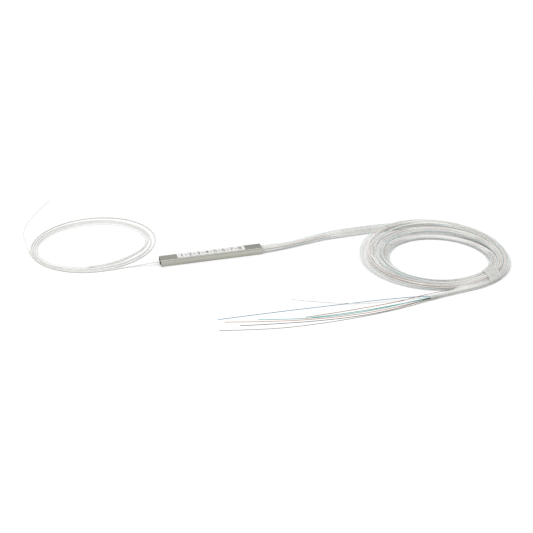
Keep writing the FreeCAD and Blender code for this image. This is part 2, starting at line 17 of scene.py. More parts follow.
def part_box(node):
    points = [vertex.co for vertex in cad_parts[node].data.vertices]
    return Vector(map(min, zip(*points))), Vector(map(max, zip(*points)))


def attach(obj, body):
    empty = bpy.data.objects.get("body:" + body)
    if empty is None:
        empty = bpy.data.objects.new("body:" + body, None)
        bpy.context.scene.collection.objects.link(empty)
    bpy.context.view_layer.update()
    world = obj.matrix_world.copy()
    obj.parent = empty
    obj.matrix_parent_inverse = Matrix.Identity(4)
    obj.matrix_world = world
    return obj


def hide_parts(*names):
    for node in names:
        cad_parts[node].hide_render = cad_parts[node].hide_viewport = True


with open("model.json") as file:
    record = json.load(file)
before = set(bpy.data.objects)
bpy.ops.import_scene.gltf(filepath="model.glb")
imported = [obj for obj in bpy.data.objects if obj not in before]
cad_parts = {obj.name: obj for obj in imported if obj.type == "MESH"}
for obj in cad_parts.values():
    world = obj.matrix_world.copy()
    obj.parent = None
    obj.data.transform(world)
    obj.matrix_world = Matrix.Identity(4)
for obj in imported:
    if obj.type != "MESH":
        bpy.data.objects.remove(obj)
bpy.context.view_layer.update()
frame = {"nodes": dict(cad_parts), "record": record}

bl_info = {
    "name": "Fibre Splitter",
    "version": (1, 0, 0),
    "blender": (4, 5, 0),
    "location": "View3D > Sidebar > Splitter",
    "description": "Dresses a fibre splitter: housing, label, coiled tubes, fibres and tape",
    "category": "Object",
}

BODY = "root"
HOUSING_LOW, HOUSING_HIGH = (Vector(corner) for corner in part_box("steel_housing"))
LABEL_LOW, LABEL_HIGH = (Vector(corner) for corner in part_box("label"))
PLUG_DEPTH = 0.003       # from a plug's outer face to the seat of the tubes in it
INPUT_SEAT = Vector((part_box("input_plug")[0][0] + PLUG_DEPTH, 0, HOUSING_HIGH.z / 2))
OUTPUT_SEAT = Vector((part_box("output_plug")[1][0] - PLUG_DEPTH, 0, HOUSING_HIGH.z / 2))

# ---------------------------------------------------------------- settings


def length_property(name, description, default):
    return FloatProperty(name=name, description=description, default=default, min=0.0,
                         unit="LENGTH", precision=5)


def colour_property(name, description, default):
    return FloatVectorProperty(name=name, description=description, default=default, size=3,
                               min=0.0, max=1.0, subtype="COLOR")


def share_property(name, description, default):
    return FloatProperty(name=name, description=description, default=default, min=0.0,
                         max=1.0, subtype="FACTOR")


class SplitterHousingSettings(bpy.types.PropertyGroup):
    """Finish of the steel tube, its plugs and its label."""

    steel: colour_property("Steel", "Colour of the brushed steel", (0.46, 0.455, 0.41))
    steel_roughness: share_property("Steel roughness", "How dull the brushed steel is", 0.34)
    film: colour_property("Label film", "Colour of the label", (0.86, 0.86, 0.85))
    ink: colour_property("Ink", "Colour of the numerals", (0.03, 0.03, 0.035))
    numeral_height: length_property("Numeral height", "Height of the printed numerals", 0.0033)
    potting: colour_property("Potting", "Colour of the plugs", (0.018, 0.018, 0.017))


class SplitterCordSettings(bpy.types.PropertyGroup):
    """Sizes and finish of the loose tubes and the fibres in them."""

    tube_diameter: length_property("Tube diameter", "Outside of a loose tube", 0.0009)
    bore_diameter: length_property("Bore diameter", "Inside of a loose tube", 0.0005)
    fibre_diameter: length_property("Fibre diameter", "Outside of a coated fibre", 0.0003)
    mouth_depth: length_property("Mouth depth", "How far a tube's open end is hollow", 0.003)
    tube: colour_property("Tube", "Colour of the loose tubes", (0.975, 0.965, 0.93))
    tube_cover: share_property("Tube cover", "How much a tube hides what is in it", 0.67)
    tube_roughness: share_property("Tube roughness", "How dull the tubes are", 0.26)
    sides: IntProperty(name="Sides", description="Faces round a tube", default=14, min=6,
                       max=32)
    wander: length_property("Wander", "How far loose turns stray from each other", 0.0002)
    seed: IntProperty(name="Seed", description="Seed of the turns' wander", default=7, min=0)


class SplitterTapeSettings(bpy.types.PropertyGroup):
    """The tape band that ties the output coil."""

    thickness: length_property("Thickness", "Thickness of the film", 0.00006)
    ripple: length_property("Ripple", "How far the film stands off in soft creases", 0.00008)
    tint: colour_property("Tint", "Colour of the film", (0.93, 0.93, 0.90))
    cover: share_property("Cover", "How much the film hides what is under it", 0.45)


class SplitterStageSettings(bpy.types.PropertyGroup):
    """Floor, light and camera."""

    distance: length_property("Distance", "From the camera to what it looks at", 0.599)
    elevation: FloatProperty(name="Elevation", description="Height of the view",
                             default=math.radians(26.5), subtype="ANGLE")
    azimuth: FloatProperty(name="Azimuth", description="Turn of the view from the front",
                           default=math.radians(16.4), subtype="ANGLE")
    lens: FloatProperty(name="Lens", description="Focal length in millimetres", default=71.0)
    sky: share_property("Sky", "Strength of the even light", 0.62)
    lamp: FloatProperty(name="Lamp", description="Radiance of the lamp overhead", default=1.8,
                        min=0.0)
    bounce: share_property("Bounce", "How much light the floor gives back", 0.45)
    glow: share_property("Glow", "How much the floor is lifted towards white", 0.1)
    far_glow: share_property("Far glow", "The same, well away from the splitter", 0.42)


SETTINGS = {
    "splitter_housing": SplitterHousingSettings,
    "splitter_cords": SplitterCordSettings,
    "splitter_tape": SplitterTapeSettings,
    "splitter_stage": SplitterStageSettings,
}

# ---------------------------------------------------------------- shader expressions


class Signal:
    """A shader output that takes arithmetic: each operation adds its Math node."""

    def __init__(self, tree, socket):
        self.tree = tree
        self.socket = socket

    def math(self, operation, *values):
        node = self.tree.nodes.new("ShaderNodeMath")
        node.operation = operation
        for socket, value in zip(node.inputs, values):
            connect(self.tree, socket, value)
        return Signal(self.tree, node.outputs[0])

    def __add__(self, other):
        return self.math("ADD", self, other)

    def __radd__(self, other):
        return self.math("ADD", other, self)

    def __sub__(self, other):
        return self.math("SUBTRACT", self, other)

    def __rsub__(self, other):
        return self.math("SUBTRACT", other, self)

    def __mul__(self, other):
        return self.math("MULTIPLY", self, other)

    def __rmul__(self, other):
        return self.math("MULTIPLY", other, self)


def connect(tree, socket, value):
    """Link a signal to a socket, or set the socket to a plain value."""
    if isinstance(value, Signal):
        tree.links.new(value.socket, socket)
    elif socket.type == "RGBA" and len(value) == 3:
        socket.default_value = (*value, 1.0)
    else:
        socket.default_value = value


class Nodes:
    """The node tree of a material or a world, cleared to be built anew."""

    def __init__(self, owner):
        owner.use_nodes = True
        self.tree = owner.node_tree
        self.tree.nodes.clear()

    def node(self, kind, settings=None, sockets=None, output=0):
        """Add a node: its settings first, then its sockets; give one of its outputs."""
        node = self.tree.nodes.new(kind)
        for key, value in (settings or {}).items():
            setattr(node, key, value)
        for key, value in (sockets or {}).items():
            connect(self.tree, node.inputs[key], value)
        return Signal(self.tree, node.outputs[output])

    def end(self, kind, surface):
        """Add the tree's output node and give it the surface."""
        output = self.tree.nodes.new(kind)
        connect(self.tree, output.inputs["Surface"], surface)


class Finish(Nodes):
    """One procedural material round a Principled shader."""

    def __init__(self, name, **constants):
        self.material = bpy.data.materials.new(f"{name}_look")
        super().__init__(self.material)
        surface = self.node("ShaderNodeBsdfPrincipled")
        self.shader = surface.socket.node
        self.end("ShaderNodeOutputMaterial", surface)
        for socket, value in constants.items():
            self.feed(socket.replace("_", " "), value)

    def feed(self, socket, value):
        """Feed one of the shader's own sockets."""
        connect(self.tree, self.shader.inputs[socket], value)

    def place(self, scale=(1.0, 1.0, 1.0)):
        """Object coordinates, stretched."""
        coordinates = self.node("ShaderNodeTexCoord", output="Object")
        return self.node("ShaderNodeMapping", sockets={"Vector": coordinates, "Scale": scale})

    def noise(self, scale, stretch=(1.0, 1.0, 1.0), detail=2.0):
        """Soft noise from 0 to 1, scale grains to a metre before it is stretched."""
        return self.node("ShaderNodeTexNoise", sockets={
            "Vector": self.place(stretch), "Scale": scale, "Detail": detail})

    def blend(self, amount, first, second):
        """A colour between two."""
        return self.node("ShaderNodeMix", {"data_type": "RGBA"},
                         {0: amount, 6: first, 7: second}, 2)

    def spread(self, signal, low, high):
        """A signal's middle range stretched to 0 and 1."""
        return self.node("ShaderNodeMapRange", sockets={
            "Value": signal, "From Min": low, "From Max": high})

    def bump(self, height, strength, depth):
        """Let a signal raise and lower the surface."""
        self.feed("Normal", self.node("ShaderNodeBump", sockets={
            "Height": height, "Strength": strength, "Distance": depth}))


def shade(colour, factor):
    """A colour made lighter or darker."""
    return tuple(min(1.0, channel * factor) for channel in colour)


def brushed_steel(settings):
    """Stainless steel with fine brushing along the tube and a few longer scratches."""
    finish = Finish("brushed_stainless", Metallic=1.0, Anisotropic=0.35)
    grain = finish.noise(1.0, (70.0, 5200.0, 5200.0), 3.0)
    streak = finish.noise(1.0, (14.0, 1500.0, 1500.0), 2.0)
    smudge = finish.noise(130.0)
    mark = finish.spread(grain * 0.4 + streak * 0.6, 0.34, 0.66)
    finish.feed("Base Color", finish.blend(mark, shade(settings.steel, 0.78),
                                           shade(settings.steel, 1.24)))
    finish.feed("Roughness", settings.steel_roughness + (mark - 0.5) * 0.16 + smudge * 0.08)
    finish.bump(mark, 0.25, 0.00002)
    return finish.material


def label_film(settings):
    """White label stock: a soft satin film with a faint mottle."""
    finish = Finish("white_vinyl", Roughness=0.45, Coat_Weight=0.15, Coat_Roughness=0.3)
    mottle = finish.noise(900.0, detail=3.0)
    finish.feed("Base Color", finish.blend(mottle, shade(settings.film, 0.96), settings.film))
    finish.bump(mottle, 0.08, 0.00002)
    return finish.material


def printed_ink(settings):
    """Thermal print: nearly black, a little broken up."""
    finish = Finish("ink", Roughness=0.6)
    speck = finish.spread(finish.noise(9000.0), 0.35, 0.75)
    finish.feed("Base Color", finish.blend(speck, settings.ink, shade(settings.ink, 3.2)))
    return finish.material


def potting(settings):
    """Black epoxy in the housing's mouths: rough, with shallow pits."""
    finish = Finish("black_epoxy", Coat_Weight=0.1)
    pit = finish.noise(2600.0, detail=4.0)
    finish.feed("Base Color", finish.blend(pit, settings.potting, shade(settings.potting, 2.2)))
    finish.feed("Roughness", 0.42 + pit * 0.25)
    finish.bump(pit, 0.4, 0.0001)
    return finish.material


def loose_tube(settings):
    """Translucent white tube, a little cloudy along its length.

    It hides the fibre in it more in some stretches than in others. Only the near side of its
    wall hides what is behind, so light also gets through a pile.
    """
    finish = Finish("white_tube", Coat_Weight=0.25, Coat_Roughness=0.25, IOR=1.42)
    inside = finish.node("ShaderNodeNewGeometry", output="Backfacing")
    patch = finish.spread(finish.noise(45.0), 0.35, 0.65)
    finish.feed("Alpha", (settings.tube_cover + (patch - 0.5) * 0.3) * (1.0 - inside))
    cloud = finish.noise(160.0, detail=3.0)
    finish.feed("Base Color", finish.blend(cloud, shade(settings.tube, 0.95),
                                           shade(settings.tube, 1.05)))
    finish.feed("Roughness", settings.tube_roughness + (cloud - 0.5) * 0.12)
    return finish.material


def clear_tape(settings):
    """Translucent tape: creased a little where it goes round the bundle."""
    finish = Finish("clear_tape", Alpha=settings.cover, Coat_Weight=0.4, Coat_Roughness=0.15)
    crease = finish.noise(420.0, (1.0, 1.0, 0.4), 3.0)
    finish.feed("Base Color", finish.blend(crease, shade(settings.tint, 0.94),
                                           shade(settings.tint, 1.06)))
    finish.feed("Roughness", 0.22 + crease * 0.2)
    finish.bump(crease, 0.35, 0.0002)
    return finish.material


def fibre_coating(name, colour):
    """Coloured lacquer on a coated fibre, a little uneven along it."""
    finish = Finish(name, Coat_Weight=0.5, Coat_Roughness=0.12)
    tone = finish.noise(240.0, detail=2.0)
    finish.feed("Base Color", finish.blend(tone, shade(colour, 0.85), shade(colour, 1.15)))
    finish.feed("Roughness", 0.26 + tone * 0.1)
    return finish.material


def inner_glass(name, colour, alpha, roughness):
    """Glass, glue and silicone of the light path inside the housing."""
    finish = Finish(name, Alpha=alpha, IOR=1.46)
    frost = finish.noise(1800.0, detail=3.0)
    finish.feed("Base Color", finish.blend(frost, shade(colour, 0.93), colour))
    finish.feed("Roughness", roughness + frost * 0.12)
    return finish.material


FIBRE_COLOURS = {
    "blue": (0.04, 0.25, 0.42),
    "orange": (0.68, 0.30, 0.13),
    "green": (0.04, 0.40, 0.24),
    "brown": (0.34, 0.15, 0.07),
    "slate": (0.30, 0.30, 0.26),
    "white": (0.85, 0.85, 0.82),
    "black": (0.05, 0.045, 0.038),
    "aqua": (0.03, 0.52, 0.55),
    "natural": (0.86, 0.86, 0.82),
}


def finish_recipes():
    """For each slot in the record, what makes its finish and what that is given."""
    scene = bpy.context.scene
    recipes = {
        "brushed_stainless": (brushed_steel, scene.splitter_housing),
        "white_vinyl": (label_film, scene.splitter_housing),
        "ink": (printed_ink, scene.splitter_housing),
        "black_epoxy": (potting, scene.splitter_housing),
        "white_tube": (loose_tube, scene.splitter_cords),
        "clear_tape": (clear_tape, scene.splitter_tape),
        "silica": (inner_glass, "silica", (0.85, 0.9, 0.92), 0.5, 0.08),
        "borosilicate": (inner_glass, "borosilicate", (0.88, 0.9, 0.9), 0.5, 0.2),
        "soft_glue": (inner_glass, "soft_glue", (0.85, 0.78, 0.55), 0.7, 0.25),
        "silicone": (inner_glass, "silicone", (0.86, 0.88, 0.88), 1.0, 0.45),
    }
    for colour, value in FIBRE_COLOURS.items():
        name = f"{colour}_fibre"
        recipes[name] = (fibre_coating, name, value)
    return recipes


def finish_named(name):
    """A slot's finish, made once; the packed model's own materials keep the plain names."""
    made = bpy.data.materials.get(f"{name}_look")
    if made:
        return made
    make, *values = finish_recipes()[name]
    return make(*values)


# ---------------------------------------------------------------- meshes

SHARP_EDGE = math.radians(50)
FIBRE_SIDES = 8


def add_piece(name, data, slot, *materials):
    """Put finished data in the scene as a piece that rides on the body."""
    piece = bpy.data.objects.new(name, data)
    bpy.context.collection.objects.link(piece)
    for material in materials or (slot,):
        data.materials.append(finish_named(material))
    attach(piece, BODY)
    return piece


def plain_mesh(temporary):
    """The evaluated mesh of a temporary object, which is removed."""
    graph = bpy.context.evaluated_depsgraph_get()
    mesh = bpy.data.meshes.new_from_object(temporary.evaluated_get(graph))
    bpy.data.objects.remove(temporary)
    return mesh


def route_curve(name, points):
    """A smooth open curve that takes the points as its control points."""
    curve = bpy.data.curves.new(name, "CURVE")
    curve.dimensions = "3D"
    curve.resolution_u = 5
    spline = curve.splines.new("NURBS")
    spline.points.add(len(points) - 1)
    for point, place in zip(spline.points, points):
        point.co = (*place, 1.0)
    spline.order_u = 3
    spline.use_endpoint_u = True
    return curve


def smooth_path(points):
    """The points that the route's smooth curve passes through, one after the other."""
    carrier = bpy.data.objects.new("route", route_curve("route", points))
    bpy.context.collection.objects.link(carrier)
    bpy.context.view_layer.update()
    mesh = plain_mesh(carrier)
    path = np.array([vertex.co for vertex in mesh.vertices])
    bpy.data.meshes.remove(mesh)
    return path


def turned_frames(path):
    """Two directions across the path at each point, carried along it without twist."""
    ahead = np.gradient(path, axis=0)
    ahead /= np.linalg.norm(ahead, axis=1)[:, None]
    side = np.cross(ahead[0], (0.0, 0.0, 1.0))
    sides = []
    for direction in ahead:
        side = side - direction * side.dot(direction)
        side /= np.linalg.norm(side)
        sides.append(side)
    sides = np.array(sides)
    return sides, np.cross(ahead, sides)


def swept_mesh(name, path, profile, count):
    """A closed round solid: profile lists the path's index and the radius of each ring."""
    sides, ups = turned_frames(path)
    turn = np.linspace(0, 2 * math.pi, count, endpoint=False)
    rings = [path[index] + radius * (np.outer(np.cos(turn), sides[index])
                                     + np.outer(np.sin(turn), ups[index]))
             for index, radius in profile]
    faces = []
    for ring in range(len(rings) - 1):
        low = ring * count
        for corner in range(count):
            after = (corner + 1) % count
            faces.append((low + corner, low + after, low + count + after,
                          low + count + corner))
    faces.append(tuple(range(count - 1, -1, -1)))
    faces.append(tuple(range((len(rings) - 1) * count, len(rings) * count)))
    mesh = bpy.data.meshes.new(name)
    mesh.from_pydata(np.concatenate(rings).tolist(), [], faces)
    mesh.polygons.foreach_set("use_smooth", [True] * len(mesh.polygons))
    mesh.set_sharp_from_angle(angle=SHARP_EDGE)
    mesh.update()
    return mesh


def tube_mesh(name, path, settings):
    """A loose tube along a path, hollow at its far end, where the fibre comes out."""
    outer = settings.tube_diameter / 2
    bore = settings.bore_diameter / 2
    last = len(path) - 1
    beyond = np.linalg.norm(np.diff(path, axis=0), axis=1)[::-1].cumsum()
    inner = last - 1 - int(np.searchsorted(beyond, settings.mouth_depth))
    profile = [(index, outer) for index in range(len(path))]
    profile += [(index, bore) for index in range(last, inner - 1, -1)]
    return swept_mesh(name, path, profile, settings.sides)


def fibre_mesh(name, path, settings):
    """A coated fibre along a path, cut square at both ends."""
    radius = settings.fibre_diameter / 2
    profile = [(index, radius) for index in range(len(path))]
    return swept_mesh(name, path, profile, FIBRE_SIDES)


def add_cord(name, mesh, slot, stands_for):
    """Put a coiled cord in the scene, for the solids it stands for."""
    piece = add_piece(name, mesh, slot)
    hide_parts(*stands_for)


# ---------------------------------------------------------------- coils

COIL_STEP = 5            # degrees between a coil's samples
CONTROL_STRIDE = 4       # samples from one control point to the next
# A quadratic spline runs inside its control points, so their radius is this much larger.
RADIUS_GAIN = 4 / (3 + math.cos(math.radians(COIL_STEP * CONTROL_STRIDE)))
COIL_SECTIONS = 360 // COIL_STEP
# Stages of settling: how strongly a cord is pulled to where it was laid, how far it sinks,
# how much its turns are smoothed, how often it is pushed off its neighbours, and the steps.
SETTLING = [(0.02, 4e-6, 0.2, 1, 300), (0, 0, 0.1, 3, 60), (0, 0, 0, 3, 20)]
CLEARANCE = 1.02         # from middle to middle, as a share of where two cords touch
CROWDING = 0.6           # how much each further neighbour weakens a push


def eased(keys, angles):
    """A smooth curve through (angle, value) keys, at falling angles."""
    places = -np.array([key[0] for key in keys], float)
    values = np.array([key[1] for key in keys], float)
    slopes = np.gradient(values, places)
    wanted = -angles
    low = np.clip(np.searchsorted(places, wanted, side="right") - 1, 0, len(places) - 2)
    span = places[low + 1] - places[low]
    share = (wanted - places[low]) / span
    square = share * share
    cube = square * share
    return ((2 * cube - 3 * square + 1) * values[low] + (cube - 2 * square + share) * span
            * slopes[low] + (3 * square - 2 * cube) * values[low + 1]
            + (cube - square) * span * slopes[low + 1])


def samples_by_section(angles):
    """Which samples lie in each section of the coil: one row a section, filled up with -1."""
    section = np.round(angles % 360 / COIL_STEP).astype(int) % COIL_SECTIONS
    members = [np.flatnonzero(section == number) for number in range(COIL_SECTIONS)]
    table = np.full((COIL_SECTIONS, max(len(columns) for columns in members)), -1)
    for number, columns in enumerate(members):
        table[number, :len(columns)] = columns
    return table


def clearances(half, table):
    """How far apart each two discs in a section stay; none for a disc and itself."""
    cords = half.shape[0]
    present = np.repeat(table >= 0, cords, axis=1)
    both = present[:, :, None] & present[:, None]
    discs = np.arange(table.shape[1] * cords)
    both[:, discs, discs] = False
    reach = half[:, table].transpose(1, 2, 0).reshape(COIL_SECTIONS, -1)
    return np.where(both, (reach[:, :, None] + reach[:, None]) * CLEARANCE, 0)


def push_apart(now, table, clear):
    """Move discs that overlap in a section apart, each by half of what they overlap."""
    packed = now[:, table].transpose(1, 2, 0, 3).reshape(COIL_SECTIONS, -1, 2)
    apart = packed[:, :, None] - packed[:, None]
    gap = np.sqrt((apart ** 2).sum(-1)) + 1e-12
    push = np.clip(clear - gap, 0, None)
    crowd = np.maximum(1, (push > 0).sum(2) * CROWDING)
    move = (apart / gap[..., None] * push[..., None] / 2).sum(2) / crowd[..., None]
    move = move.reshape(*table.shape, len(now), 2).transpose(2, 0, 1, 3)
    for number, column in enumerate(table.T):
        here = column >= 0
        now[:, column[here]] += move[:, here, number]


def settle_coil(radii, heights, angles, thickness, floor):
    """Let wound cords come to rest on each other and on the floor.

    radii and heights are one row a cord and one column a sample; every sample that lies at
    the same angle is a disc in one section of the coil. The discs are pulled to where they
    were laid, sink, keep their turns smooth and push each other apart until none overlap.
    """
    table = samples_by_section(angles)
    clear = clearances(np.broadcast_to(thickness / 2, radii.shape), table)
    laid = np.stack([radii, heights], -1)
    now = laid.copy()
    for pull, sink, smooth, pushes, steps in SETTLING:
        for _ in range(steps):
            now += pull * (laid - now)
            now[..., 1] -= sink
            now[:, 1:-1] += smooth * (now[:, 2:] + now[:, :-2] - 2 * now[:, 1:-1])
            for _ in range(pushes):
                push_apart(now, table, clear)
                now[..., 1] = np.maximum(now[..., 1], floor)
            now[:, [0, -1]] = laid[:, [0, -1]]
    return now[..., 0], now[..., 1]


def coil_points(centre, radii, heights, angles):
    """Control points of one wound cord, a few samples apart."""
    points = []
    for sample in range(0, len(angles), CONTROL_STRIDE):
        turn = math.radians(angles[sample])
        points.append((centre[0] + radii[sample] * RADIUS_GAIN * math.cos(turn),
                       centre[1] + radii[sample] * RADIUS_GAIN * math.sin(turn),
                       heights[sample]))
    return points


# ---------------------------------------------------------------- output cords

OUTPUT_FIBRES = ("blue", "orange", "green", "brown", "slate", "white", "black", "aqua")
FIBRE_REST = 0.00015     # height of a fibre's middle where it lies on the floor
BORE_PITCH = 0.0007      # from one bore of the plug to the next, across
ROW_RISE = 0.0011        # from the plug's lower row of bores to its upper row
# The leads go as one flat bundle. Each entry is its middle x and y, the pitch across it, the
# height of its middle, how far its two rows stand apart and the rise across it.
OUTPUT_LEADS = [
    (0.0345, 0.0000, 0.00070, 0.00200, 0.00110, 0.0000),
    (0.0465, 0.0012, 0.00053, 0.00175, 0.00100, 0.0000),
    (0.0595, 0.0043, 0.00062, 0.00155, 0.00095, 0.0002),
    (0.0725, 0.0078, 0.00086, 0.00140, 0.00060, 0.0006),
    (0.0860, 0.0090, 0.00110, 0.00125, 0.00000, 0.0011),
    (0.0980, 0.0090, 0.00110, 0.00125, 0.00000, 0.0011),
]
COIL_CENTRE = (0.126, -0.0388)
# The bundle's middle along the unwound coil, in three turns and a half: angle in degrees,
# radius and height.
OUTPUT_TURNS = [
    (108, 0.0503, 0.00125), (90, 0.0456, 0.0009), (60, 0.0413, 0.0009), (30, 0.0372, 0.0009),
    (0, 0.0342, 0.0010), (-30, 0.0321, 0.0011), (-50, 0.0315, 0.0011), (-90, 0.0319, 0.0010),
    (-135, 0.0330, 0.0009), (-180, 0.0326, 0.0009), (-225, 0.0306, 0.0009),
    (-252, 0.0296, 0.0009), (-270, 0.0289, 0.0009), (-300, 0.0278, 0.0009),
    (-330, 0.0275, 0.0010), (-360, 0.0289, 0.0014), (-390, 0.0310, 0.0026),
    (-410, 0.0315, 0.0030), (-450, 0.0330, 0.0026), (-495, 0.0350, 0.0024),
    (-540, 0.0356, 0.0024), (-585, 0.0355, 0.0026), (-612, 0.0362, 0.0028),
    (-630, 0.0368, 0.0029), (-660, 0.0358, 0.0031), (-690, 0.0340, 0.0030),
    (-720, 0.0332, 0.0026), (-750, 0.0339, 0.0022), (-770, 0.0345, 0.0021),
    (-810, 0.0356, 0.0018), (-855, 0.0386, 0.0018), (-900, 0.0398, 0.0020),
    (-945, 0.0417, 0.0032), (-972, 0.0451, 0.0041), (-990, 0.0472, 0.0044),
    (-1020, 0.0452, 0.0043), (-1050, 0.0398, 0.0034), (-1080, 0.0376, 0.0024),
    (-1110, 0.0379, 0.0014), (-1130, 0.0381, 0.00115), (-1147, 0.0381, 0.00114),
]
COIL_START = OUTPUT_TURNS[0][0]
COIL_END = OUTPUT_TURNS[-1][0]
# The tubes in two rows of four, as they lie on the first, second and last pass.
FIRST_ROWS = [(-1.5, -.5), (-.5, -.5), (-1.5, .5), (-.5, .5), (.5, -.5), (.5, .5), (1.5, -.5),
              (1.5, .5)]
SECOND_ROWS = [(-1.5, .5), (-.5, -.5), (-1.5, -.5), (.5, .5), (.5, -.5), (1.5, .5),
               (-.5, .5), (1.6, -.5)]
LAST_ROWS = [(-1.5, -.5), (.5, -.5), (-.5, -.5), (-1.5, .5), (1.5, -.5), (-.5, .5),
             (1.5, .5), (.5, .5)]
# How the eight tubes lie across the bundle at marked angles: their columns' pitch, and the
# place of each tube in turn, in columns out from the middle and rows up from it.
OUTPUT_LAYS = [
    (108, 0.00110, [(-3.5, -.45), (-2.5, -.32), (-1.5, -.2), (-.5, -.06), (.5, .06),
                    (1.5, .2), (2.5, .32), (3.5, .45)]),
    (70, 0.00095, [(-3.5, 0), (-2.5, 0), (-1.5, 0), (-.5, 0), (.5, 0), (1.5, 0), (2.5, 0),
                   (3.5, 0)]),
    (10, 0.00095, FIRST_ROWS),
    (-50, 0.00098, FIRST_ROWS),
    (-135, 0.00085, [(-3.2, 0), (-1.2, -.2), (-2.3, .4), (.8, .3), (-.3, .2), (2.4, 0),
                     (1.6, -.4), (3.3, .3)]),
    (-190, 0.00085, [(-2.4, .2), (-.6, -.2), (-3.5, 0), (1.8, .3), (.5, -.3), (3.4, 0),
                     (-1.4, .4), (2.6, .2)]),
    (-260, 0.00092, SECOND_ROWS),
    (-340, 0.00092, SECOND_ROWS),
    (-410, 0.00098, [(-1.5, .5), (-.5, -.5), (-1.5, -.5), (.5, .5), (.5, -.5), (1.5, .5),
                     (-.5, .5), (1.5, -.5)]),
    (-480, 0.00085, [(-1.4, .6), (.2, -.4), (-3.0, 0), (2.5, .4), (1.0, -.4), (3.4, 0),
                     (-2.2, .3), (1.8, .6)]),
    (-555, 0.00098, [(-2.5, .4), (1.2, -.4), (-3.5, 0), (3.4, .2), (.3, .3), (2.3, -.3),
                     (-1.5, -.2), (-.6, .5)]),
    (-630, 0.00090, [(-3.4, .2), (1.6, .5), (-2.2, -.4), (2.6, 0), (-.4, .5), (3.5, -.3),
                     (-1.2, .3), (.7, -.5)]),
    (-700, 0.00090, [(-1.6, .3), (.5, .8), (-1.5, -.7), (1.5, .3), (-.5, .4), (1.5, -.7),
                     (-.5, -.6), (.5, -.3)]),
    (-770, 0.00098, [(-.5, .5), (.5, 1.5), (-.5, -.5), (.5, .5), (-.5, 1.5), (.5, -.5),
                     (-.5, -1.5), (.5, -1.5)]),
    (-840, 0.00088, [(-2.4, .3), (1.4, .6), (-1.6, -.6), (2.8, .2), (-.6, .6), (.6, -.5),
                     (-3.2, -.3), (2.0, -.5)]),
    (-905, 0.00095, [(-2.2, 0), (.4, .6), (-3.3, .3), (3.9, 0), (-.8, -.4), (1.1, -.6),
                     (-1.5, .6), (5.6, 0)]),
    (-950, 0.00098, [(-1.2, .2), (-.1, .6), (-3.2, .2), (2.9, 0), (-2.2, -.4), (1.0, -.6),
                     (.9, .6), (3.9, 0)]),
    (-990, 0.00100, [(.4, .4), (-1.4, .5), (-3.6, 0), (1.6, .1), (-2.6, -.2), (-.6, -.5),
                     (2.7, .2), (3.7, 0)]),
    (-1045, 0.00090, [(.6, .8), (-1.4, .6), (-1.9, -.4), (1.6, .4), (-.6, .5), (-.8, -.6),
                      (.8, -.4), (2.0, -.4)]),
    (-1105, 0.00100, LAST_ROWS),
    (-1147, 0.00100, LAST_ROWS),
]
ROW_PITCH = 0.00097      # from a lower tube's middle to the one on it
TAPED_ANGLE = -50        # where the tape ties the coil, in degrees as are the next three
LOOSE_FROM_TAPE = 50     # how far from the tape the turns take to come loose
LIFTED_BY_TAPE = 30      # how far from the tape its lift takes to die away
LOOSE_FROM_ENDS = 40     # how far from the coil's ends the turns take to come loose
TAPE_LIFT = 0.0002       # how far the tape's film holds the turns off the floor
# Waves by which loose turns stray: in radius (0) or in height (1), and how many to a turn.
STRAYS = ((0, 0.53), (0, 1.3), (1, 0.6), (1, 1.4))
TAIL_MIDDLE = 1.5        # the middle of the bundle of tails, in columns
# Column (0 is nearest the coil) and row of each tail, and how many of OUTPUT_TAILS it
# follows before its tube ends.
TAIL_SLOTS = [(0, 0, 3), (2, 0, 4), (1, 0, 4), (0, 1, 2), (3, 0, 4), (1, 1, 4), (3, 1, 4),
              (2, 1, 4)]
# The tails' middle past the tape, the pitch across them and the lower row's height.
OUTPUT_TAILS = [
    (0.1270, -0.0777, 0.00100, 0.00060),
    (0.1170, -0.0790, 0.00098, 0.00050),
    (0.1075, -0.0806, 0.00098, 0.00050),
    (0.1000, -0.0821, 0.00098, 0.00050),
]
TAIL_FIRST_RUN = 0.0065  # from the coil's end to a tail's first point
FIBRE_FIRST_RUN = 0.004  # from a tube's end to its fibre's next point
# Each bare fibre past its tube: the heights of its first points, until it lies on the floor,
# and its places.
BARE_FIBRES = [
    ((0.00030,),
     [(0.0970, -0.0782), (0.0840, -0.0762), (0.0650, -0.0749), (0.0400, -0.0737),
      (0.0130, -0.0724), (-0.0140, -0.0718)]),
    ((0.00025,),
     [(0.0880, -0.0843), (0.0750, -0.0860), (0.0600, -0.0871), (0.0380, -0.0861),
      (0.0129, -0.0820), (-0.0113, -0.0753)]),
    ((0.00030,),
     [(0.0885, -0.0824), (0.0770, -0.0832), (0.0620, -0.0841), (0.0470, -0.0841),
      (0.0331, -0.0835)]),
    ((0.00125, 0.00080),
     [(0.1060, -0.0780), (0.0965, -0.0783), (0.0860, -0.0796), (0.0700, -0.0811),
      (0.0500, -0.0819), (0.0305, -0.0823)]),
    ((0.00025,),
     [(0.0885, -0.0862), (0.0760, -0.0884), (0.0580, -0.0902), (0.0340, -0.0908),
      (0.0085, -0.0892), (-0.0160, -0.0830)]),
    ((0.00120, 0.00095, 0.00030, 0.00070, 0.00070),
     [(0.0895, -0.0812), (0.0800, -0.0792), (0.0700, -0.0778), (0.0615, -0.0771),
      (0.0500, -0.0727), (0.0395, -0.0671), (0.0292, -0.0614)]),
    ((0.00090, 0.00025),
     [(0.0885, -0.0859), (0.0770, -0.0876), (0.0600, -0.0890), (0.0400, -0.0882),
      (0.0175, -0.0853), (-0.0047, -0.0812)]),
    ((0.00090, 0.00030),
     [(0.0880, -0.0833), (0.0765, -0.0842), (0.0620, -0.0853), (0.0440, -0.0853),
      (0.0245, -0.0827), (0.0060, -0.0777)]),
]


